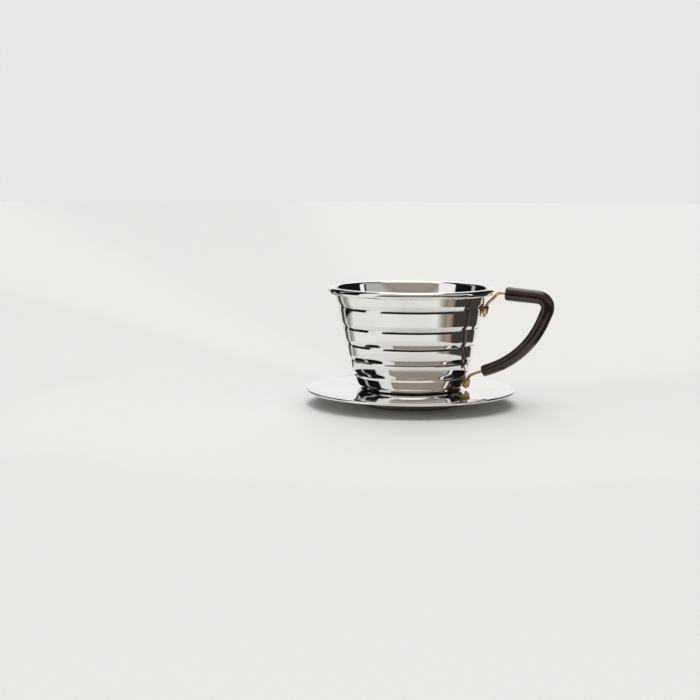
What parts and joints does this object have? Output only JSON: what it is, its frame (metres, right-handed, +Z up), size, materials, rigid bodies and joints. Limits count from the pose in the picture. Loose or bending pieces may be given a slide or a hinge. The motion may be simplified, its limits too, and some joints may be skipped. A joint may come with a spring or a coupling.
{
  "type": "pour over dripper",
  "caption": "Ribbed steel coffee dripper cup on a flat round flange, with a rolled rim and a bent wire handle carrying a brown moulded grip.",
  "frame": {"origin": "middle of the bounding box, on the plane that the locating ring rests on", "axes": "+Z up along the cup, +X from the cup towards the handle, which is the longest extent; the cup axis is at x = -9.5 mm, y = 0"},
  "size_m": [0.1234, 0.1046, 0.0598],
  "materials": {
    "polished_steel": "mirror polished stainless steel",
    "satin_steel": "satin stainless steel",
    "brass_wire": "polished brass",
    "brown_grip": "satin gloss dark brown moulded plastic"
  },
  "bodies": {
    "root": {"cup_body": "polished_steel", "base_flange": "polished_steel", "locating_ring": "satin_steel", "handle_wire": "brass_wire", "upper_saddle": "brass_wire", "lower_saddle": "brass_wire", "grip_front_half": "brown_grip", "grip_back_half": "brown_grip"}
  },
  "joints": []
}
